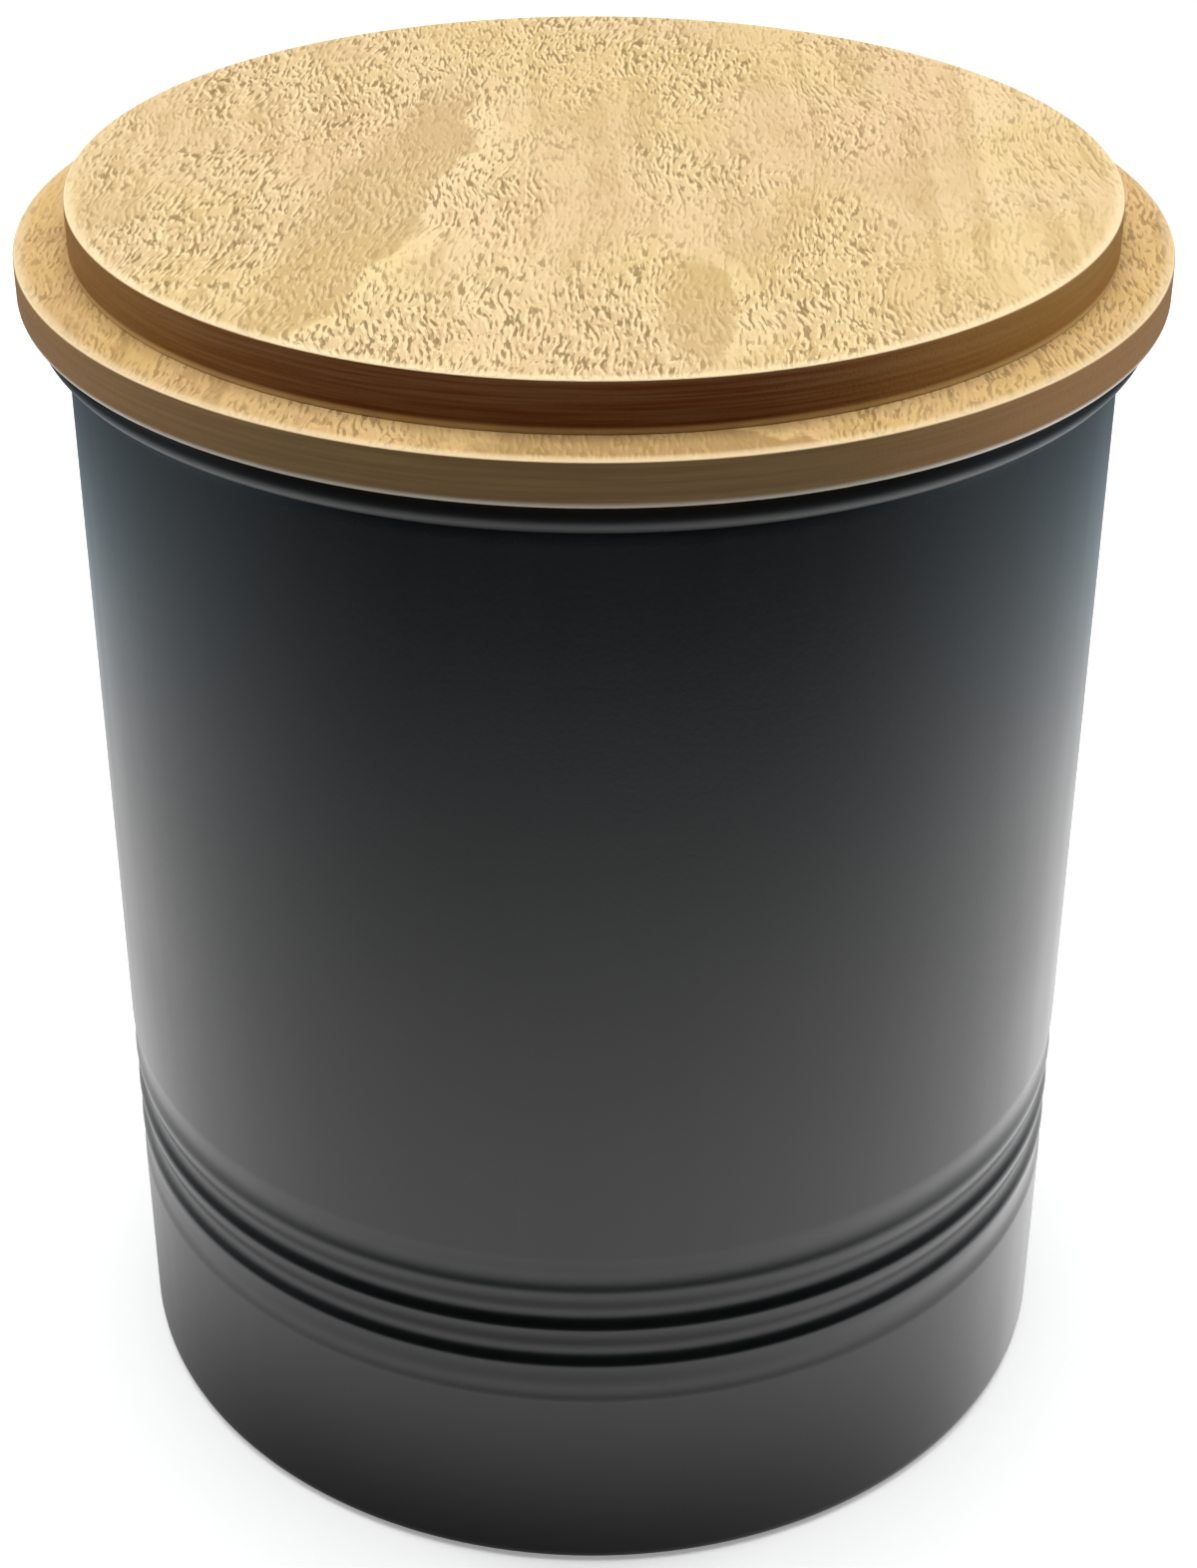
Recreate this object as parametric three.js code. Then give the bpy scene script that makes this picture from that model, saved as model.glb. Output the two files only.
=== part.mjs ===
// A candle tin: one drawn and beaded can, and a turned wooden lid with a silicone seal.
// Millimetres, +Z up. The origin is the centre of the circle that the tin stands on.

import * as THREE from "three";

// Driving sizes of the can.
const BODY_RADIUS = 40;
const RIM_HEIGHT = 96.5;
const SHEET = 0.3;
const CURL_RADIUS = 1.25;
const CURL_ENDS_AT = -115;
const FOOT_CORNER = 1.2;
const FOOT_WIDTH = 3.2;
const PANEL_RISE = 1.2;
const PANEL_SLOPE = 1.6;

// The four rolled grooves that leave three round beads between them, lowest first. A lean
// under 1 brings the deepest line of each groove below its middle.
const GROOVE_PITCH = 3.72;
const GROOVES_FROM = 17.4;
const GROOVE_DEPTHS = [0.25, 0.52, 0.52, 0.25];
const GROOVE_LEAN = 0.7;

// Driving sizes of the lid, whose flange sits just above the curled rim.
const LID_GAP = 0.1;
const FLANGE_RADIUS = 43.3;
const FLANGE_THICKNESS = 3.4;
const DISC_RADIUS = 39.3;
const DISC_THICKNESS = 3.8;
const TOP_CHAMFER = 0.2;
const BOTTOM_CHAMFER = 0.45;
const PLUG_CHAMFER = 0.3;
const PLUG_RADIUS = 37;
const PLUG_DEPTH = 5;

// The seal sits in a groove round the plug, and its three fins reach for the can's bore.
const SEAL_HEIGHT = 3;
const SEAL_DROP = 1;
const SEAL_GROOVE_DEPTH = 1.2;
const SEAL_CLEARANCE = 0.15;
const SEAL_BAND = 1.3;
const FIN_COUNT = 3;
const FIN_TIP = 0.3;
const BORE_CLEARANCE = 0.25;

// Flat facets round every turned piece, and how finely a curved section is cut.
const FACETS = 48;
const CURL_STEPS = 10;
const CORNER_STEPS = 3;
const STEPS_PER_GROOVE = 5;

const satinBlack = new THREE.MeshStandardMaterial({ color: 0x17191b, roughness: 0.38, metalness: 0.6 });
const siliconeBlack = new THREE.MeshStandardMaterial({ color: 0x0c0c0d, roughness: 0.7, metalness: 0 });
const paleWood = new THREE.MeshStandardMaterial({ color: 0xd9b678, roughness: 0.6, metalness: 0 });
const goldenWood = new THREE.MeshStandardMaterial({ color: 0xbd9158, roughness: 0.55, metalness: 0 });
const brownWood = new THREE.MeshStandardMaterial({ color: 0x9a7040, roughness: 0.65, metalness: 0 });

function point(radius, height) {
  return new THREE.Vector2(radius, height);
}

function arc(centre, radius, fromDegrees, toDegrees, steps) {
  const points = [];
  for (let step = 0; step <= steps; step += 1) {
    const angle = THREE.MathUtils.degToRad(THREE.MathUtils.lerp(fromDegrees, toDegrees, step / steps));
    points.push(point(centre.x + radius * Math.cos(angle), centre.y + radius * Math.sin(angle)));
  }
  return points;
}

// The same line moved sideways to its left, with mitred corners, as the other face of a sheet.
function otherFace(line, thickness) {
  return line.map((here, index) => {
    const before = line[Math.max(index - 1, 0)];
    const after = line[Math.min(index + 1, line.length - 1)];
    const into = index === 0 ? after.clone().sub(here) : here.clone().sub(before);
    const onward = index === line.length - 1 ? into.clone() : after.clone().sub(here);
    const normalIn = point(-into.y, into.x).normalize();
    const normalOut = point(-onward.y, onward.x).normalize();
    const mitre = normalIn.clone().add(normalOut).normalize();
    return here.clone().addScaledVector(mitre, thickness / mitre.dot(normalIn));
  });
}

// A closed section turned about Z. Its points run up the outside and come down the inside.
function turned(name, section, material) {
  const geometry = new THREE.LatheGeometry(section, FACETS);
  geometry.rotateX(Math.PI / 2);
  const mesh = new THREE.Mesh(geometry, material);
  mesh.name = name;
  return mesh;
}

// A solid disc with its outer edges chamfered.
function turnedDisc(name, radius, bottom, thickness, material) {
  const top = bottom + thickness;
  return turned(name, [
    point(0, bottom),
    point(radius - BOTTOM_CHAMFER, bottom),
    point(radius, bottom + BOTTOM_CHAMFER),
    point(radius, top - TOP_CHAMFER),
    point(radius - TOP_CHAMFER, top),
    point(0, top),
  ], material);
}

function groovedWall() {
  const points = [point(BODY_RADIUS, GROOVES_FROM)];
  GROOVE_DEPTHS.forEach((deepest, groove) => {
    for (let step = 1; step <= STEPS_PER_GROOVE; step += 1) {
      const part = step / STEPS_PER_GROOVE;
      const depth = deepest * Math.sin(Math.PI * part ** GROOVE_LEAN) ** 2;
      points.push(point(BODY_RADIUS - depth, GROOVES_FROM + (groove + part) * GROOVE_PITCH));
    }
  });
  return points;
}

// The can's outside face, from the middle of its base up to the end of its outward curl.
function canOutside() {
  const footOuter = BODY_RADIUS - FOOT_CORNER;
  const footInner = footOuter - FOOT_WIDTH;
  const curlCentre = point(BODY_RADIUS - SHEET + CURL_RADIUS, RIM_HEIGHT - CURL_RADIUS);
  return [
    point(0, PANEL_RISE),
    point(footInner - PANEL_SLOPE, PANEL_RISE),
    point(footInner, 0),
    ...arc(point(footOuter, FOOT_CORNER), FOOT_CORNER, -90, 0, CORNER_STEPS),
    ...groovedWall(),
    ...arc(curlCentre, CURL_RADIUS - SHEET, 180, CURL_ENDS_AT, CURL_STEPS),
  ];
}

function tinBody() {
  const outside = canOutside();
  const inside = otherFace(outside, SHEET).reverse();
  return turned("tin_body", [...outside, ...inside], satinBlack);
}

const flangeBottom = RIM_HEIGHT + LID_GAP;
const discBottom = flangeBottom + FLANGE_THICKNESS;
const plugBottom = flangeBottom - PLUG_DEPTH;
const sealTop = flangeBottom - SEAL_DROP;
const sealBottom = sealTop - SEAL_HEIGHT;
const grooveFloor = PLUG_RADIUS - SEAL_GROOVE_DEPTH;

function lidPlug() {
  return turned("lid_plug", [
    point(0, plugBottom),
    point(PLUG_RADIUS - PLUG_CHAMFER, plugBottom),
    point(PLUG_RADIUS, plugBottom + PLUG_CHAMFER),
    point(PLUG_RADIUS, sealBottom),
    point(grooveFloor, sealBottom),
    point(grooveFloor, sealTop),
    point(PLUG_RADIUS, sealTop),
    point(PLUG_RADIUS, flangeBottom),
    point(0, flangeBottom),
  ], brownWood);
}

// A flat band in the plug's groove, with fins that taper to a blunt tip.
function sealRing() {
  const bandInner = grooveFloor + SEAL_CLEARANCE;
  const bandOuter = bandInner + SEAL_BAND;
  const finRadius = BODY_RADIUS - SHEET - BORE_CLEARANCE;
  const low = sealBottom + SEAL_CLEARANCE;
  const high = sealTop - SEAL_CLEARANCE;
  const finPitch = (high - low) / FIN_COUNT;
  const section = [point(bandInner, low)];
  for (let fin = 0; fin < FIN_COUNT; fin += 1) {
    const middle = low + (fin + 0.5) * finPitch;
    section.push(point(bandOuter, low + fin * finPitch));
    section.push(point(finRadius, middle - FIN_TIP / 2));
    section.push(point(finRadius, middle + FIN_TIP / 2));
  }
  section.push(point(bandOuter, high), point(bandInner, high), section[0].clone());
  return turned("seal_ring", section, siliconeBlack);
}

const candleTin = new THREE.Group();
candleTin.add(tinBody());
candleTin.add(sealRing());
candleTin.add(lidPlug());
candleTin.add(turnedDisc("lid_flange", FLANGE_RADIUS, flangeBottom, FLANGE_THICKNESS, goldenWood));
candleTin.add(turnedDisc("lid_raised_disc", DISC_RADIUS, discBottom, DISC_THICKNESS, paleWood));

export default candleTin;
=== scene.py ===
"""A closed candle tin: a black lacquered can with rolled grooves, and a turned wooden lid with a seal.

Metres, +Z up. The grain of the lid runs along Y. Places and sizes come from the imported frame.
"""

import math

import bpy
from mathutils import Matrix, Vector

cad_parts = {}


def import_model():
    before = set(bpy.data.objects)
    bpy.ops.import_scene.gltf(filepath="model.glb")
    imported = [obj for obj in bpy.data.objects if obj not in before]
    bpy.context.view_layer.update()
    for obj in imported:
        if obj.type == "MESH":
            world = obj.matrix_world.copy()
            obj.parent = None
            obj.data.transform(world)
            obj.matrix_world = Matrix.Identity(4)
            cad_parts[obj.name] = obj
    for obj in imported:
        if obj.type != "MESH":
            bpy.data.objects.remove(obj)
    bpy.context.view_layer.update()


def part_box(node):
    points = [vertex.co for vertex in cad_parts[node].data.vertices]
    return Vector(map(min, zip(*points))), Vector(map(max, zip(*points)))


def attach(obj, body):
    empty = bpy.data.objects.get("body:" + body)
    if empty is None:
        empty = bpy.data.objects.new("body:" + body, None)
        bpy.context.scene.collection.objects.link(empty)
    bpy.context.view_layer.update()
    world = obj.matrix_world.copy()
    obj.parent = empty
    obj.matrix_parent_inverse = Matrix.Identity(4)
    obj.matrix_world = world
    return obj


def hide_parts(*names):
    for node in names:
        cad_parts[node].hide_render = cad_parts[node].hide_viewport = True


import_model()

MM = 0.001

# The can, beyond what the frame says.
SHEET = 0.3 * MM
CURL_RADIUS = 1.25 * MM
CURL_ENDS_AT = -115
CURL_STEPS = 30
FOOT_CORNER = 1.2 * MM
FOOT_WIDTH = 3.2 * MM
PANEL_RISE = 1.2 * MM
PANEL_SLOPE = 1.6 * MM
PANEL_FILLET = 1.0 * MM
RING_FILLET = 0.8 * MM
GROOVE_PITCH = 3.72 * MM
GROOVES_FROM = 17.4 * MM
GROOVE_COUNT = 4
DEEP_GROOVE = 0.52 * MM
END_GROOVE = 0.25 * MM
GROOVE_LEAN = 0.7
GROOVE_STEP = 0.2 * MM

# The lacquer is burnished from just under the rim's curl upward.
BURNISHED_FROM = 92.0 * MM
BURNISHED_TO = 94.0 * MM

# The lid and the seal.
TOP_ARRIS = 0.2 * MM
FLANGE_LOWER_ARRIS = 0.45 * MM
DISC_LOWER_ARRIS = 0.1 * MM
PLUG_LOWER_ARRIS = 0.5 * MM
PLUG_ARRIS = 0.12 * MM
SEAL_GROOVE_DEPTH = 1.2 * MM
SEAL_CLEARANCE = 0.15 * MM
SEAL_BAND = 1.3 * MM
SEAL_CORNER = 0.15 * MM
SEAL_STEP = 0.04 * MM
FIN_COUNT = 3
FIN_SHARPNESS = 2.2
FIN_START = 0.05 * MM

# Faces round every turned piece, and how finely a rounded corner is cut.
SEGMENTS = 192
CORNER_STEPS = 6
ON_AXIS = 1e-9

# How far a patch of darker figure throws a pale rim to its right, in millimetres.
HALO_SHIFT = 2.0


# ---------------------------------------------------------------- node trees

class Wire:
    """An output in a node tree. Arithmetic on it adds the Math nodes that work it out."""

    def __init__(self, nodes, socket):
        self.nodes = nodes
        self.socket = socket

    def _math(self, operation, *values):
        return self.nodes.add("ShaderNodeMath", {"operation": operation}, *values)

    def __add__(self, other):
        return self._math("ADD", self, other)

    def __radd__(self, other):
        return self._math("ADD", other, self)

    def __sub__(self, other):
        return self._math("SUBTRACT", self, other)

    def __rsub__(self, other):
        return self._math("SUBTRACT", other, self)

    def __mul__(self, other):
        return self._math("MULTIPLY", self, other)

    def __rmul__(self, other):
        return self._math("MULTIPLY", other, self)

    def __truediv__(self, other):
        return self._math("DIVIDE", self, other)

    def __pow__(self, other):
        return self._math("POWER", self, other)

    def __lt__(self, other):
        return self._math("LESS_THAN", self, other)

    def __gt__(self, other):
        return self._math("GREATER_THAN", self, other)

    def __abs__(self):
        return self._math("ABSOLUTE", self)

    def sine(self):
        return self._math("SINE", self)

    def fraction(self):
        return self._math("FRACT", self)

    def root(self):
        return self._math("SQRT", self)


class Nodes:
    """Adds nodes to one tree, each with its settings first and then its values and links."""

    def __init__(self, tree):
        self.tree = tree

    def add(self, kind, settings=None, *values, out=0, **named):
        node = self.tree.nodes.new(kind)
        for key, value in (settings or {}).items():
            setattr(node, key, value)
        for index, value in enumerate(values):
            self._feed(node.inputs[index], value)
        for key, value in named.items():
            self._feed(node.inputs[key.replace("_", " ")], value)
        return Wire(self, node.outputs[out]) if len(node.outputs) else node

    def _feed(self, socket, value):
        if isinstance(value, Wire):
            self.tree.links.new(value.socket, socket)
        elif value is not None:
            socket.default_value = value

    def vector(self, operation, *values):
        return self.add("ShaderNodeVectorMath", {"operation": operation}, *values)

    def split(self, vector):
        node = self.add("ShaderNodeSeparateXYZ", None, vector).socket.node
        return [Wire(self, output) for output in node.outputs]

    def step(self, value, low, high, to_low=0, to_high=1):
        """Goes smoothly from to_low at low to to_high at high, whichever way round those are."""
        return self.add(
            "ShaderNodeMapRange", {"interpolation_type": "SMOOTHSTEP"}, value, low, high, to_low, to_high)

    def mix(self, factor, first, second, blend="MIX"):
        """Mixes two colours."""
        node = self.tree.nodes.new("ShaderNodeMix")
        node.data_type = "RGBA"
        node.blend_type = blend
        for name, value in (("Factor_Float", factor), ("A_Color", first), ("B_Color", second)):
            socket = next(s for s in node.inputs if s.identifier == name)
            self._feed(socket, (*value, 1) if isinstance(value, tuple) else value)
        return Wire(self, next(s for s in node.outputs if s.identifier == "Result_Color"))

    def noise(self, place, scale, detail=2, roughness=0.5, out=0):
        return self.add(
            "ShaderNodeTexNoise", None, place, Scale=scale, Detail=detail, Roughness=roughness, out=out)

    def mark(self, name):
        """Reads one of the marks that turned() leaves on a mesh."""
        return self.add("ShaderNodeAttribute", {"attribute_name": name}, out="Fac")

    def ray(self, *kinds):
        """Tells whether the light path is of each kind."""
        node = self.add("ShaderNodeLightPath").socket.node
        return [Wire(self, node.outputs[f"Is {kind} Ray"]) for kind in kinds]


# ---------------------------------------------------------------- turned shapes

def rounded(corners, steps=CORNER_STEPS):
    """A section line through corners, each (radius, height, fillet), with its corners rounded."""
    line = []
    for index, (radius, height, fillet) in enumerate(corners):
        here = Vector((radius, height))
        if not fillet:
            line.append(here)
            continue
        before = corners[index - 1]
        after = corners[(index + 1) % len(corners)]
        back = (Vector(before[:2]) - here).normalized()
        onward = (Vector(after[:2]) - here).normalized()
        half = back.angle(onward) / 2
        reach = fillet / math.tan(half)
        centre = here + (back + onward).normalized() * (fillet / math.sin(half))
        start = here + back * reach - centre
        sweep = start.angle_signed(here + onward * reach - centre)
        for step in range(steps + 1):
            line.append(centre + Matrix.Rotation(-sweep * step / steps, 2) @ start)
    return line


def arc(centre, radius, start, end, steps):
    """Points of an arc in a section, its angles in degrees."""
    angles = [math.radians(start + (end - start) * step / steps) for step in range(steps + 1)]
    return [Vector((centre[0] + radius * math.cos(a), centre[1] + radius * math.sin(a))) for a in angles]


def other_face(line, thickness):
    """The same line moved to its left by the sheet's thickness."""
    moved = []
    for index, here in enumerate(line):
        before = line[max(index - 1, 0)]
        after = line[min(index + 1, len(line) - 1)]
        run = (after - before).normalized()
        moved.append(here + Vector((-run.y, run.x)) * thickness)
    return moved


def refined(line, low, high, longest):
    """The same line with its steep stretches between two heights cut into short steps."""
    points = [line[0]]
    for here, there in zip(line, line[1:]):
        inside = min(here.y, there.y) < high and max(here.y, there.y) > low
        pieces = math.ceil(abs(there.y - here.y) / longest) if inside else 1
        points += [here.lerp(there, piece / pieces) for piece in range(1, pieces + 1)]
    return points


def turned(name, section, inside_from=None):
    """Turns a section about Z. It runs up the outside, and starts and ends on the axis or joins up.

    The upright attribute is 0 on level faces, 1 on upright ones, and in between on rounded corners.
    The underside attribute is over 0 where a face looks down, and inside is 1 from a given point on.
    """
    on_axis = section[0].x < ON_AXIS
    rows = section[1:-1] if on_axis else section
    inner_row = len(section) if inside_from is None else inside_from - 1
    points = []
    upright = []
    underside = []
    inside = []
    for index, here in enumerate(rows):
        before = rows[index - 1] if index or not on_axis else section[0]
        after = rows[(index + 1) % len(rows)] if index + 1 < len(rows) or not on_axis else section[-1]
        run_in = (here - before).normalized()
        run_out = (after - here).normalized()
        slope = (run_in + run_out).normalized()
        for segment in range(SEGMENTS):
            angle = math.tau * segment / SEGMENTS
            points.append((here.x * math.cos(angle), here.x * math.sin(angle), here.y))
            upright.append(abs(slope.y))
            underside.append(max(slope.x, 0))
            inside.append(index >= inner_row)
    faces = []
    joins = len(rows) - 1 if on_axis else len(rows)
    for row in range(joins):
        above = (row + 1) % len(rows)
        for segment in range(SEGMENTS):
            beside = (segment + 1) % SEGMENTS
            faces.append((
                row * SEGMENTS + segment, row * SEGMENTS + beside,
                above * SEGMENTS + beside, above * SEGMENTS + segment))
    if on_axis:
        last = (len(rows) - 1) * SEGMENTS
        for end, first_row, flip in ((section[0], 0, True), (section[-1], last, False)):
            pole = len(points)
            points.append((0, 0, end.y))
            upright.append(0)
            underside.append(flip)
            inside.append(end is section[-1] and inside_from is not None)
            for segment in range(SEGMENTS):
                beside = (segment + 1) % SEGMENTS
                face = (first_row + segment, first_row + beside, pole)
                faces.append(face[::-1] if flip else face)
    mesh = bpy.data.meshes.new(name)
    mesh.from_pydata(points, [], faces)
    for mark, values in (("upright", upright), ("underside", underside), ("inside", inside)):
        mesh.attributes.new(mark, "FLOAT", "POINT").data.foreach_set("value", [float(v) for v in values])
    mesh.shade_smooth()
    piece = bpy.data.objects.new(name, mesh)
    bpy.context.collection.objects.link(piece)
    return piece


def finished(piece, body, node):
    """Puts a piece on its body, in place of its plain solid."""
    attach(piece, body)
    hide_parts(node)
    return piece


# ---------------------------------------------------------------- rolled ridges

RIDGE_INPUTS = (
    "Start", "Pitch", "Count", "Height", "End Height", "Lean", "Sharpness", "Reach From", "Finish")


def ridge_tree():
    """Raises or sinks even ridges round a turned piece, the end ones by a height of their own."""
    tree = bpy.data.node_groups.new("rolled_ridges", "GeometryNodeTree")
    tree.interface.new_socket("Geometry", in_out="INPUT", socket_type="NodeSocketGeometry")
    for name in RIDGE_INPUTS:
        kind = "NodeSocketMaterial" if name == "Finish" else "NodeSocketFloat"
        tree.interface.new_socket(name, in_out="INPUT", socket_type=kind)
    tree.interface.new_socket("Geometry", in_out="OUTPUT", socket_type="NodeSocketGeometry")
    nodes = Nodes(tree)
    given = tree.nodes.new("NodeGroupInput")
    shape = Wire(nodes, given.outputs["Geometry"])
    start, pitch, count, height, end_height, lean, sharpness, reach, finish = (
        Wire(nodes, given.outputs[name]) for name in RIDGE_INPUTS)
    place = nodes.add("GeometryNodeInputPosition")
    x, y, z = nodes.split(place)
    turns = (z - start) / pitch
    away = abs(turns - count / 2)
    wave = abs((turns.fraction() ** lean * math.pi).sine()) ** (sharpness * 2)
    amount = end_height + (height - end_height) * (away < (count / 2 - 1))
    radius = (x * x + y * y).root()
    lift = wave * amount * (away < (count / 2)) * (radius > reach)
    outward = nodes.vector("NORMALIZE", nodes.add("ShaderNodeCombineXYZ", None, x, y, 0.0))
    offset = nodes.add("ShaderNodeVectorMath", {"operation": "SCALE"}, outward, Scale=lift)
    moved = nodes.add("GeometryNodeSetPosition", None, Geometry=shape, Offset=offset)
    real = nodes.add("GeometryNodeRealizeInstances", None, moved)
    painted = nodes.add("GeometryNodeSetMaterial", None, Geometry=real, Material=finish)
    nodes.add("NodeGroupOutput", None, painted)
    return tree


def with_ridges(piece, tree, **sizes):
    """Runs the ridge tree on a piece and keeps what it makes as the piece's plain mesh."""
    modifier = piece.modifiers.new("ridges", "NODES")
    modifier.node_group = tree
    for item in tree.interface.items_tree:
        value = sizes.get(item.name.lower().replace(" ", "_"))
        if item.in_out == "INPUT" and value is not None:
            modifier[item.identifier] = value
    graph = bpy.context.evaluated_depsgraph_get()
    shape = bpy.data.meshes.new_from_object(piece.evaluated_get(graph), depsgraph=graph)
    shape.name = piece.name
    piece.modifiers.remove(modifier)
    piece.data = shape
    shape.shade_smooth()


# ---------------------------------------------------------------- finishes

def new_finish(name):
    finish = bpy.data.materials.new(name)
    finish.use_nodes = True
    finish.node_tree.nodes.clear()
    return finish, Nodes(finish.node_tree)


def surface(nodes, **inputs):
    """Ends a finish in one shader, with its constants set on its own sockets."""
    shader = nodes.add("ShaderNodeBsdfPrincipled", None, **inputs)
    nodes.add("ShaderNodeOutputMaterial", None, shader)


def millimetres(nodes):
    """Places on the piece in millimetres."""
    place = nodes.add("ShaderNodeTexCoord", out="Object")
    return nodes.vector("MULTIPLY", place, (1 / MM,) * 3)


def black_lacquer():
    """Satin black stoved lacquer with a faint orange peel, more matt inside, with drawing marks."""
    finish, nodes = new_finish("black_lacquer")
    place = millimetres(nodes)
    x, y, height = nodes.split(place)
    inside = nodes.mark("inside")
    streaks = nodes.noise(nodes.vector("MULTIPLY", place, (0.5, 0.5, 0.02)), 1.0, 3)
    cloud = nodes.noise(place, 0.06, 2)
    peel = nodes.noise(place, 2.2, 2)
    dust = nodes.step(nodes.noise(place, 5.0, 1), 0.70, 0.78)
    along_section = nodes.add("ShaderNodeCombineXYZ", None, (x * x + y * y).root(), height, 0.0)
    draw_marks = nodes.noise(along_section, 1.8, 3)
    burnished = nodes.step(height, BURNISHED_FROM / MM, BURNISHED_TO / MM) * (1 - inside)
    tone = nodes.mix(cloud, (0.0018, 0.0023, 0.0027), (0.0026, 0.0032, 0.0036))
    tone = nodes.mix(inside * 0.7, tone, (0.014, 0.0135, 0.013))
    tone = nodes.mix(dust * 0.25, tone, (0.03, 0.03, 0.03))
    roughness = 0.30 + (streaks - 0.5) * 0.06 + (cloud - 0.5) * 0.08 + dust * 0.05
    roughness = roughness - burnished * 0.21 + inside * (0.12 + (draw_marks - 0.5) * 0.3)
    relief = peel + inside * draw_marks * 2
    bump = nodes.add("ShaderNodeBump", None, Strength=0.25, Distance=0.02 * MM, Height=relief)
    surface(
        nodes, IOR=1.5, Coat_Roughness=0.05, Base_Color=tone, Roughness=roughness,
        Coat_Weight=burnished * 0.8, Normal=bump)
    return finish


def black_silicone():
    """Matte moulded silicone with a little lint."""
    finish, nodes = new_finish("black_silicone")
    place = millimetres(nodes)
    lint = nodes.step(nodes.noise(place, 3.0, 3), 0.62, 0.74)
    grain = nodes.noise(place, 9.0, 2)
    colour = nodes.mix(lint * 0.4, (0.012, 0.012, 0.013), (0.05, 0.05, 0.05))
    bump = nodes.add("ShaderNodeBump", None, Strength=0.3, Distance=0.02 * MM, Height=grain)
    surface(nodes, IOR=1.42, Base_Color=colour, Roughness=0.6 + lint * 0.15, Normal=bump)
    return finish


def leaf_patch(nodes, place, wander, centre, half_width, half_length, lean, strength):
    """A leaf-shaped area along the grain, in millimetres and degrees, ragged on its right."""
    x, y, _ = nodes.split(nodes.vector("SUBTRACT", place, (*centre, 0)))
    turn = math.radians(lean)
    across = (x * math.cos(turn) - y * math.sin(turn)) / half_width + wander
    along = (y * math.cos(turn) + x * math.sin(turn)) / half_length
    feather = nodes.step(across, -0.4, 0.6, 0.6, 0.14)
    return nodes.step(across * across + along * along, 1 + feather, 1 - feather) * strength


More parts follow.
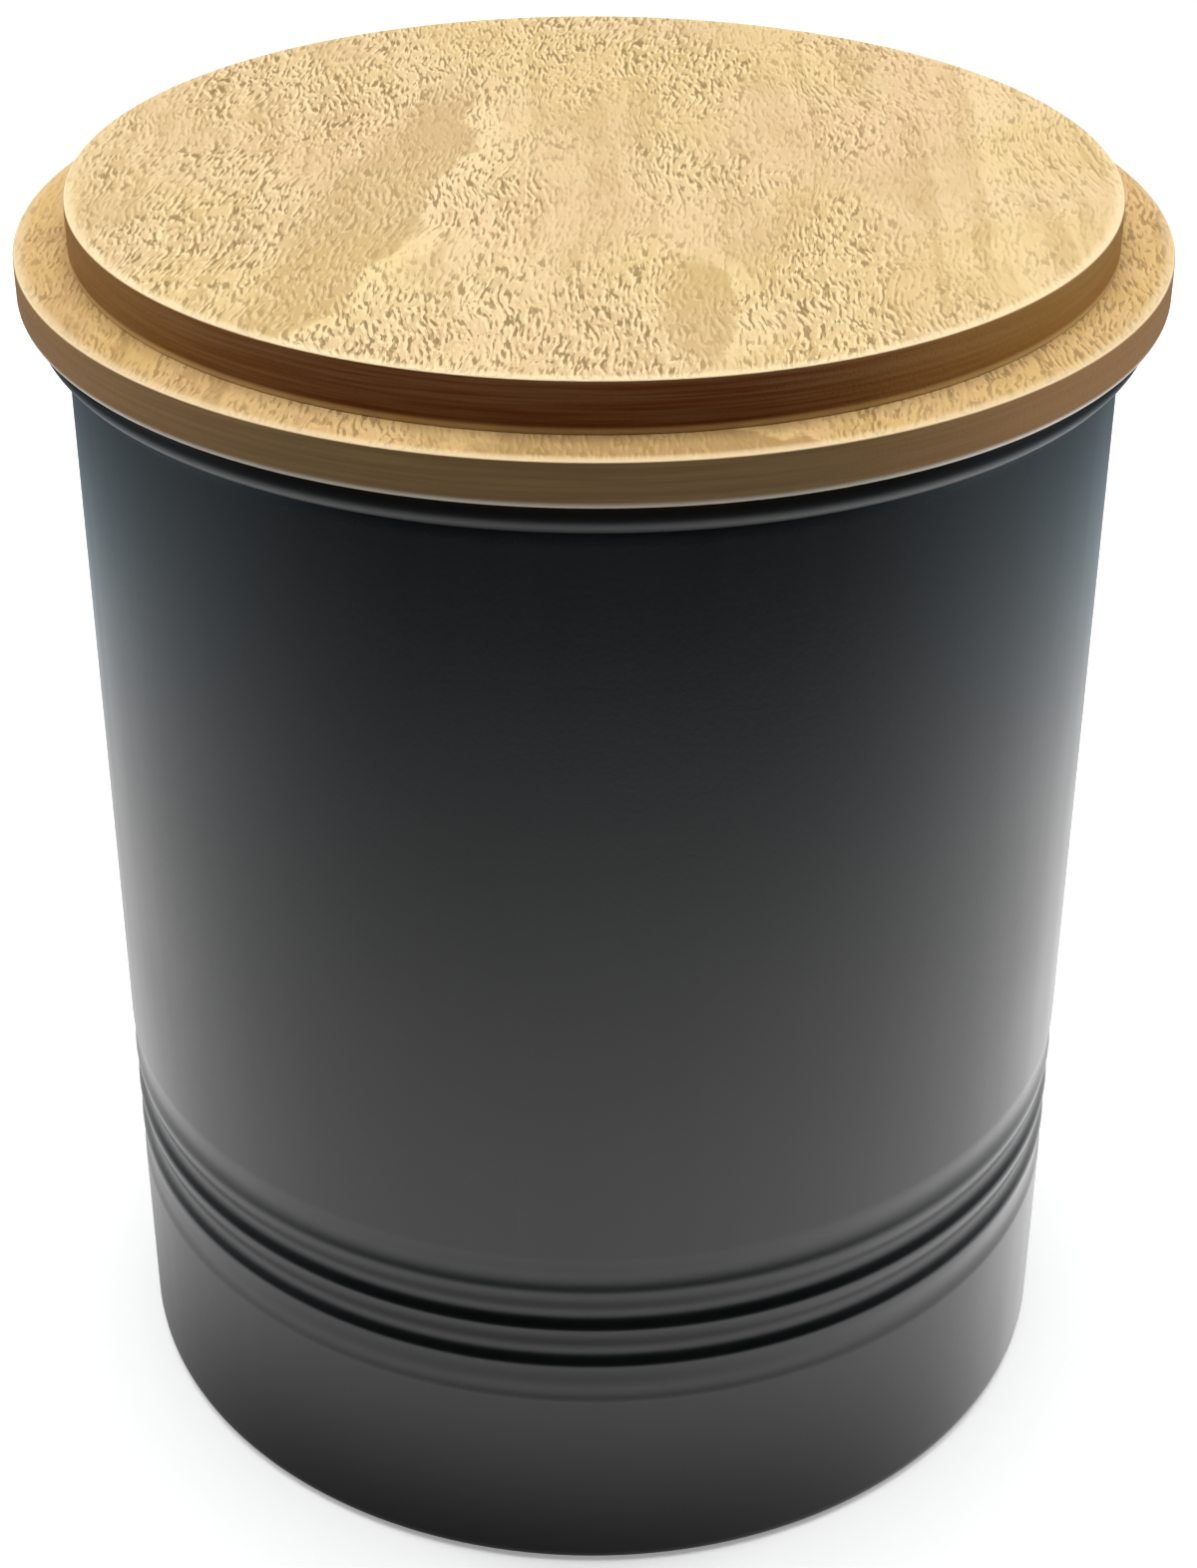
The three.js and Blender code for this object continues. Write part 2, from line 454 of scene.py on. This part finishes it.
def turned_wood(name, tones, edge, arris_and_highlight_tone, shift, patches=(), pores=1.0, mottle=0.055):
    """Oiled open-pored wood with its grain along Y, paler along its edges, with painted light and shade.

    Tones are its pale, middle, figure and pore colours. The edge gives the piece's radius and bottom
    height in millimetres, for its end grain and side grain the tone of the edge, and the tones of the
    painted light along the edge's bottom line. The pale edge tone is sanded bare wood with a painted
    highlight, and faces that look down carry painted shade. Each patch is what leaf_patch() takes.
    """
    pale, middle, figure, pore = tones
    finish, nodes = new_finish(name)
    here = millimetres(nodes)
    place = nodes.vector("SUBTRACT", here, shift)
    bend = nodes.vector("SUBTRACT", nodes.noise(place, 0.05, 2, out="Color"), (0.5, 0.5, 0.5))
    grain = nodes.vector("ADD", place, nodes.vector("MULTIPLY", bend, (5.0, 0.0, 5.0)))
    waver = nodes.noise(nodes.vector("MULTIPLY", place, (0.8, 0.45, 0.8)), 1.0, 1, out="Color")
    waver = nodes.vector("MULTIPLY", nodes.vector("SUBTRACT", waver, (0.5, 0.5, 0.5)), (0.32, 0.0, 0.32))
    crooked = nodes.vector("ADD", grain, waver)

    bands = nodes.noise(nodes.vector("MULTIPLY", grain, (0.11, 0.012, 0.11)), 1.0, 4, 0.55)
    streaks = nodes.noise(nodes.vector("MULTIPLY", grain, (0.6, 0.03, 0.6)), 1.0, 2, 0.5)
    cloudy = nodes.noise(nodes.vector("MULTIPLY", grain, (0.25, 0.09, 0.25)), 1.0, 3, 0.5)
    fibres = nodes.noise(nodes.vector("MULTIPLY", crooked, (5.5, 0.6, 5.5)), 1.0, 2, 0.5)
    stretched = nodes.vector("MULTIPLY", crooked, (4.0, 0.62, 4.0))
    vessels = nodes.noise(stretched, 1.0, 1, 0.4)
    beside = nodes.noise(nodes.vector("ADD", stretched, (0.9, 0.25, 0.0)), 1.0, 1, 0.4)

    leaf = 0.0
    halo = 0.0
    wander = (nodes.noise(place, 0.16, 5, 0.62) - 0.5) * 1.6
    for patch in patches:
        leaf = leaf_patch(nodes, place, wander, **patch) + leaf
        across, along = patch["centre"]
        beyond = {**patch, "centre": (across + HALO_SHIFT, along)}
        halo = leaf_patch(nodes, place, wander, **beyond) + halo

    crowd = nodes.noise(nodes.vector("MULTIPLY", grain, (0.10, 0.05, 0.10)), 1.0, 2)
    quiet = nodes.step(nodes.split(grain)[0] + wander * 6, 14.0, 32.0, 0.0, 0.45)
    busy = nodes.step(crowd, 0.33, 0.55, 0.3, 1.0) * (1 - leaf * 0.7) * (1 - quiet) * pores
    pits = nodes.step(vessels, 0.475, 0.40)
    dark_strokes = pits * busy
    # Pale strokes beside the pores are a painted highlight, as on the lit edges of the pores.
    pore_edge_highlight = nodes.step(beside, 0.49, 0.42) * (1 - pits) * busy
    deep = nodes.step(vessels + (fibres - 0.5) * 0.4, 0.42, 0.33) * busy

    tone = nodes.mix(nodes.step(bands, 0.35, 0.65) * 0.5, middle, pale)
    tone = nodes.mix(nodes.step(cloudy, 0.5, 0.7) * 0.4, tone, figure)
    tone = nodes.mix(nodes.step(streaks, 0.52, 0.64) * 0.5, tone, figure)
    tone = nodes.mix((1 - leaf) * halo * 0.7, tone, pale)
    tone = nodes.mix(leaf, tone, figure)
    hue = nodes.noise(place, mottle, 1)
    tone = nodes.mix(nodes.step(hue, 0.50, 0.64), tone, (0.985, 0.985, 0.88), blend="MULTIPLY")
    tone = nodes.mix(nodes.step(hue, 0.46, 0.34), tone, (1.0, 0.965, 0.985), blend="MULTIPLY")
    tone = nodes.mix((fibres - 0.5) * busy * 1.2, tone, pore)
    tone = nodes.mix(pore_edge_highlight * 0.95, tone, pale)
    tone = nodes.mix(dark_strokes * 0.44, tone, pore)
    tone = nodes.mix(deep * 0.68, tone, pore)

    upright = nodes.mark("upright")
    underside = nodes.mark("underside")
    x, y, height = nodes.split(here)
    radius = (x * x + y * y).root()
    along_side = nodes.step((abs(x) + x * 0.18) / radius, 0.3, 1.0)
    # A pale band along the top's outer edge, stronger towards the front (-Y), is a painted highlight.
    painted_edge_highlight = nodes.step(radius, edge["radius"] - 1.1, edge["radius"] - 0.3)
    painted_edge_highlight = painted_edge_highlight * nodes.step(y, 15.0, -15.0, 0.15, 0.6)
    tone = nodes.mix(painted_edge_highlight, tone, arris_and_highlight_tone)
    # Faces that look down take the dark end-grain tone: painted shade under the lid.
    tone = nodes.mix(nodes.step(underside, 0.3, 0.7) * 0.9, tone, edge["end"])
    rings = nodes.noise(nodes.vector("MULTIPLY", place, (0.08, 0.08, 3.5)), 1.0, 3)
    edge_tone = nodes.mix(along_side, edge["end"], edge["side"])
    scorch = nodes.mix(nodes.step(rings, 0.3, 0.7) * 0.12, edge_tone, middle)
    tone = nodes.mix(nodes.step(upright, 0.55, 0.95), tone, scorch)
    # Rounded arrises take the pale arris tone: sanded bare wood with a painted highlight on it.
    arris = nodes.step(upright * (1 - upright) * 4, 0.3, 0.8)
    tone = nodes.mix(arris * (1 - nodes.step(underside, 0.0, 0.3)) * 0.85, tone, arris_and_highlight_tone)
    # The bottom line of each upright side takes tones of painted light: bounce from the flange on the
    # raised disc, a highlight on the flange's lower arris.
    painted_foot_band = nodes.step(height, edge["foot"] + 0.62, edge["foot"] + 0.25) * nodes.step(upright, 0.15, 0.45)
    tone = nodes.mix(painted_foot_band * 0.9, tone, nodes.mix(along_side, edge["foot_end"], edge["foot_side"]))

    relief = fibres * 0.4 - dark_strokes * 0.5 - deep * 0.5
    bump = nodes.add("ShaderNodeBump", None, Strength=0.4, Distance=0.06 * MM, Height=relief)
    roughness = 0.55 + dark_strokes * 0.15 + (cloudy - 0.5) * 0.15
    surface(
        nodes, IOR=1.45, Specular_IOR_Level=0.15, Base_Color=tone, Roughness=roughness, Normal=bump)
    return finish


# ---------------------------------------------------------------- the pieces

_, tin_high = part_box("tin_body")
flange_low, flange_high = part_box("lid_flange")
disc_low, disc_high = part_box("lid_raised_disc")
plug_low, plug_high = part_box("lid_plug")
seal_low, seal_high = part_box("seal_ring")
wall_radius = tin_high.x - 2 * CURL_RADIUS + SHEET


def can(ridges, finish):
    """One sheet all through: a raised base panel, a foot ring, the wall and an outward curl."""
    foot_inner = wall_radius - FOOT_CORNER - FOOT_WIDTH
    grooves_to = GROOVES_FROM + GROOVE_COUNT * GROOVE_PITCH
    outside = rounded([
        (0, PANEL_RISE, 0),
        (foot_inner - PANEL_SLOPE, PANEL_RISE, PANEL_FILLET),
        (foot_inner, 0, RING_FILLET),
        (wall_radius, 0, FOOT_CORNER),
        (wall_radius, GROOVES_FROM, 0),
        (wall_radius, grooves_to, 0),
    ])
    curl_centre = (wall_radius - SHEET + CURL_RADIUS, tin_high.z - CURL_RADIUS)
    curl = arc(curl_centre, CURL_RADIUS - SHEET, 180, CURL_ENDS_AT, CURL_STEPS)
    outside = refined(outside + curl, GROOVES_FROM, grooves_to, GROOVE_STEP)
    inside = other_face(outside, SHEET)
    inside[0].x = 0
    piece = turned("can", outside + inside[::-1], inside_from=len(outside))
    with_ridges(
        piece, ridges, start=GROOVES_FROM, pitch=GROOVE_PITCH, count=float(GROOVE_COUNT),
        height=-DEEP_GROOVE, end_height=-END_GROOVE, lean=GROOVE_LEAN, sharpness=1.0,
        reach_from=0.0, finish=finish)
    return finished(piece, "tin", "tin_body")


def seal(ridges, finish):
    """A band in the plug's groove with fins that reach out to the bore."""
    inner = plug_high.x - SEAL_GROOVE_DEPTH + SEAL_CLEARANCE
    outer = inner + SEAL_BAND
    fin_pitch = (seal_high.z - seal_low.z) / FIN_COUNT
    fin_reach = seal_high.x - outer
    steps = 3
    section = rounded([
        (outer, seal_high.z, SEAL_CORNER),
        (inner, seal_high.z, SEAL_CORNER),
        (inner, seal_low.z, SEAL_CORNER),
        (outer, seal_low.z, SEAL_CORNER),
    ], steps)

    # The line starts at the lower outer corner, so that the outer face is one of its cut stretches.
    last_corner = steps + 1
    section = section[-last_corner:] + section[:-last_corner]
    section = refined(section, seal_low.z, seal_high.z, SEAL_STEP)
    piece = turned("seal", section)
    with_ridges(
        piece, ridges, start=seal_low.z, pitch=fin_pitch, count=float(FIN_COUNT),
        height=fin_reach, end_height=fin_reach, lean=1.0, sharpness=FIN_SHARPNESS,
        reach_from=outer - FIN_START, finish=finish)
    return finished(piece, "seal", "seal_ring")


def wooden_disc(name, node, low, high, lower_arris, finish):
    """A solid disc in the box between two corners, with its edges eased."""
    shoulder = high.x - 1 * MM
    piece = turned(name, rounded([
        (0, low.z, 0),
        (shoulder, low.z, 0),
        (high.x, low.z, lower_arris),
        (high.x, high.z, TOP_ARRIS),
        (shoulder, high.z, 0),
        (0, high.z, 0),
    ]))
    piece.data.materials.append(finish)
    return finished(piece, "lid", node)


def plug(finish):
    """The part of the lid that goes down into the mouth, with a groove for the seal."""
    wide = plug_high.x
    narrow = wide - SEAL_GROOVE_DEPTH
    low = seal_low.z - SEAL_CLEARANCE
    high = seal_high.z + SEAL_CLEARANCE
    piece = turned("plug", rounded([
        (0, plug_low.z, 0),
        (narrow, plug_low.z, 0),
        (wide, plug_low.z, PLUG_LOWER_ARRIS),
        (wide, low, PLUG_ARRIS),
        (narrow, low, PLUG_ARRIS),
        (narrow, high, PLUG_ARRIS),
        (wide, high, PLUG_ARRIS),
        (wide, plug_high.z, 0),
        (0, plug_high.z, 0),
    ]))
    piece.data.materials.append(finish)
    return finished(piece, "lid", "lid_plug")


ridges = ridge_tree()
can(ridges, black_lacquer())
seal(ridges, black_silicone())

disc_wood = turned_wood(
    "disc_wood",
    tones=((0.73, 0.565, 0.32), (0.60, 0.435, 0.235), (0.47, 0.325, 0.15), (0.20, 0.13, 0.046)),
    edge=dict(
        radius=disc_high.x / MM, foot=disc_low.z / MM,
        end=(0.132, 0.037, 0.005), side=(0.35, 0.18, 0.042),
        # A golden band along the bottom of the side is painted bounce light from the flange.
        foot_end=(0.62, 0.42, 0.19), foot_side=(0.70, 0.50, 0.24)),
    arris_and_highlight_tone=(0.80, 0.64, 0.40), shift=(0, 0, 90),
    patches=(
        dict(centre=(-16.2, -7.5), half_width=4.2, half_length=28.0, lean=11.5, strength=0.75),
        dict(centre=(7.0, -27.5), half_width=2.8, half_length=9.0, lean=-3.0, strength=0.75),
    ))
flange_wood = turned_wood(
    "flange_wood",
    tones=((0.66, 0.46, 0.21), (0.55, 0.36, 0.155), (0.36, 0.225, 0.085), (0.2, 0.12, 0.04)),
    edge=dict(
        radius=flange_high.x / MM, foot=flange_low.z / MM,
        end=(0.175, 0.105, 0.042), side=(0.37, 0.195, 0.08),
        # A pale band along the flange's lower arris is a painted highlight, brighter at the sides than at
        # the front.
        foot_end=(0.45, 0.42, 0.34), foot_side=(1.0, 0.93, 0.85)),
    arris_and_highlight_tone=(0.76, 0.60, 0.37), shift=(31, 12, -40),
    # The flange's patch darkens it across its front.
    patches=(dict(centre=(-28.5, -54.0), half_width=11.0, half_length=5.0, lean=0.0, strength=0.8),),
    pores=0.7, mottle=0.16)
plug_wood = turned_wood(
    "plug_wood",
    tones=((0.50, 0.34, 0.17), (0.43, 0.28, 0.13), (0.34, 0.21, 0.09), (0.18, 0.11, 0.04)),
    edge=dict(
        radius=plug_high.x / MM, foot=plug_low.z / MM,
        end=(0.30, 0.19, 0.09), side=(0.38, 0.25, 0.12),
        foot_end=(0.30, 0.19, 0.09), foot_side=(0.38, 0.25, 0.12)),
    arris_and_highlight_tone=(0.5, 0.36, 0.2), shift=(-57, 20, 15),
    pores=0.7)
wooden_disc(
    "flange", "lid_flange", flange_low, flange_high, FLANGE_LOWER_ARRIS, flange_wood)
wooden_disc(
    "raised_disc", "lid_raised_disc", disc_low, disc_high, DISC_LOWER_ARRIS, disc_wood)
plug(plug_wood)


# ---------------------------------------------------------------- studio

FLOOR_SIZE = 8.0
CAMERA_PLACE = (0.00045, -0.2096, 0.1775)
CAMERA_PITCH = 31.31
CAMERA_ROLL = 0.17
CAMERA_LENS = 66.7

# What the can's gloss sees on the floor, in millimetres from the tin's axis.
POOL_START = 75.0
POOL_END_IN_FRONT = 200.0
POOL_END_BEHIND = 250.0
POOL_DIM_IN_FRONT = 0.005
POOL_DIM_BEHIND = 0.10
POOL_GLOW = 1.55
SHADOW_START = 38.0
SHADOW_END = 66.0
SHADOW_DEPTH = 0.90
WHITE_TO = 110.0
COOL_FROM = 200.0

# Added for the camera's own view, so that the floor and what lies beyond it look nearly white.
FLOOR_LIFT_NEAR = 0.3
FLOOR_LIFT_FAR = 0.75
LIFT_START = 250.0
LIFT_END = 1200.0
SKY_FOR_CAMERA = 0.85

LIGHTS_AIM = (0, 0, 0.05)


def floor_finish():
    """Pale matte floor. The can's gloss sees a pool of light on it, with a soft shadow near the foot."""
    finish, nodes = new_finish("pale_floor")
    mirrored, seen = nodes.ray("Glossy", "Camera")
    x, y, _ = nodes.split(millimetres(nodes))
    distance = (x * x + y * y).root()
    across = x / distance
    along = y / distance
    front = nodes.step(along, 0.0, -0.9)
    reach = POOL_END_BEHIND + (POOL_END_IN_FRONT - POOL_END_BEHIND) * front
    dim = POOL_DIM_BEHIND + (POOL_DIM_IN_FRONT - POOL_DIM_BEHIND) * front
    pool = nodes.step(distance, POOL_START, reach, 1.0, dim)
    shadow_side = nodes.step(across * -0.2 - along * 0.6, -0.35, 0.75)
    shadow = nodes.step(distance, SHADOW_START, SHADOW_END, SHADOW_DEPTH, 0.0) * shadow_side
    glow = pool * (1 - shadow) * (POOL_GLOW + across * 0.2)
    tone = nodes.mix(seen, (0.85, 0.85, 0.85), (0.92, 0.92, 0.92))
    matte = nodes.add("ShaderNodeBsdfDiffuse", None, Color=tone)
    cast = nodes.mix(nodes.step(distance, WHITE_TO, COOL_FROM), (1.0, 1.0, 1.0), (0.80, 1.0, 1.12))
    glowing = nodes.add("ShaderNodeEmission", None, Color=cast, Strength=glow)
    lift = seen * nodes.step(distance, LIFT_START, LIFT_END, FLOOR_LIFT_NEAR, FLOOR_LIFT_FAR)
    lit_from_below = nodes.add("ShaderNodeEmission", None, Color=(1.0, 1.0, 1.0, 1.0), Strength=lift)
    table = nodes.add("ShaderNodeAddShader", None, matte, lit_from_below)
    shader = nodes.add("ShaderNodeMixShader", None, mirrored, table, glowing)
    nodes.add("ShaderNodeOutputMaterial", None, shader)
    return finish


def floor():
    half = FLOOR_SIZE / 2
    corners = [(-half, -half, 0), (half, -half, 0), (half, half, 0), (-half, half, 0)]
    mesh = bpy.data.meshes.new("floor")
    mesh.from_pydata(corners, [], [(0, 1, 2, 3)])
    mesh.materials.append(floor_finish())
    ground = bpy.data.objects.new("floor", mesh)
    bpy.context.collection.objects.link(ground)


def softbox(name, place, size, power):
    light = bpy.data.lights.new(name, "AREA")
    light.shape = "DISK"
    light.size = size
    light.energy = power
    lamp = bpy.data.objects.new(name, light)
    lamp.location = place
    lamp.rotation_euler = (Vector(LIGHTS_AIM) - Vector(place)).to_track_quat("-Z", "Y").to_euler()
    bpy.context.collection.objects.link(lamp)


def camera():
    lens = bpy.data.cameras.new("camera")
    lens.lens = CAMERA_LENS
    lens.sensor_width = 36
    lens.clip_start = 0.01
    eye = bpy.data.objects.new("camera", lens)
    eye.location = CAMERA_PLACE
    turn = Matrix.Rotation(math.radians(90 - CAMERA_PITCH), 4, "X")
    eye.rotation_euler = (turn @ Matrix.Rotation(math.radians(CAMERA_ROLL), 4, "Z")).to_euler()
    bpy.context.collection.objects.link(eye)
    bpy.context.scene.camera = eye


def world():
    """Pale surroundings, darker on the side that the camera stands on, and even to the camera."""
    sky = bpy.data.worlds.new("studio")
    sky.use_nodes = True
    sky.node_tree.nodes.clear()
    nodes = Nodes(sky.node_tree)
    _, y, z = nodes.split(nodes.add("ShaderNodeTexCoord", out="Generated"))
    level = nodes.step(y - z * 0.6, 0.2, -0.9, 0.5, 0.03) * nodes.step(z, 0.1, 0.6, 0.25, 1.1)
    (seen,) = nodes.ray("Camera")
    strength = level * (1 - seen) + seen * SKY_FOR_CAMERA
    light = nodes.add("ShaderNodeBackground", None, (0.96, 0.98, 1.0, 1.0), strength)
    nodes.add("ShaderNodeOutputWorld", None, light)
    bpy.context.scene.world = sky


floor()
softbox("overhead", place=(0.0, -0.02, 0.75), size=0.60, power=5.0)
softbox("left", place=(-0.6, 0.15, 0.45), size=0.4, power=1.6)
softbox("right", place=(0.6, 0.15, 0.45), size=0.4, power=1.6)
world()
camera()
bpy.context.scene.view_settings.view_transform = "Standard"
